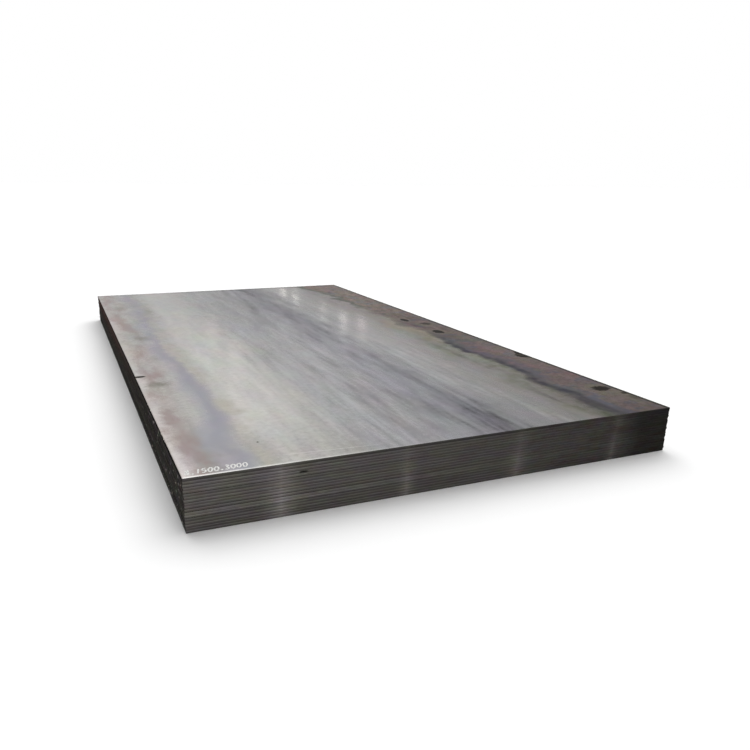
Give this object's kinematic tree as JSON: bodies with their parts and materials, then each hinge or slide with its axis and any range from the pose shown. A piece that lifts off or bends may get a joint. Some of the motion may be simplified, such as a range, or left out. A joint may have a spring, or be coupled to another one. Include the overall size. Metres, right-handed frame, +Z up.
{
  "type": "stack of steel plates",
  "caption": "Flush stack of rectangular hot-rolled steel plates with sheared edges, lying flat for storage and cutting into parts.",
  "frame": {"origin": "centre of the underside of the stack", "axes": "+Z up, +Y along the plates' length and rolling direction, +X across their width; -Y is the end seen from the front"},
  "size_m": [1.5036, 3.003, 0.1424],
  "materials": {
    "mill_steel": "hot-rolled mill finish, satin grey with faint blue and brown oxide along the long edges"
  },
  "bodies": {
    "root": {"plate_01": "mill_steel", "plate_02": "mill_steel", "plate_03": "mill_steel", "plate_04": "mill_steel", "plate_05": "mill_steel", "plate_06": "mill_steel", "plate_07": "mill_steel", "plate_08": "mill_steel", "plate_09": "mill_steel", "plate_10": "mill_steel", "plate_11": "mill_steel", "plate_12": "mill_steel", "plate_13": "mill_steel", "plate_14": "mill_steel", "plate_15": "mill_steel", "plate_16": "mill_steel", "plate_17": "mill_steel", "plate_18": "mill_steel"}
  },
  "joints": []
}
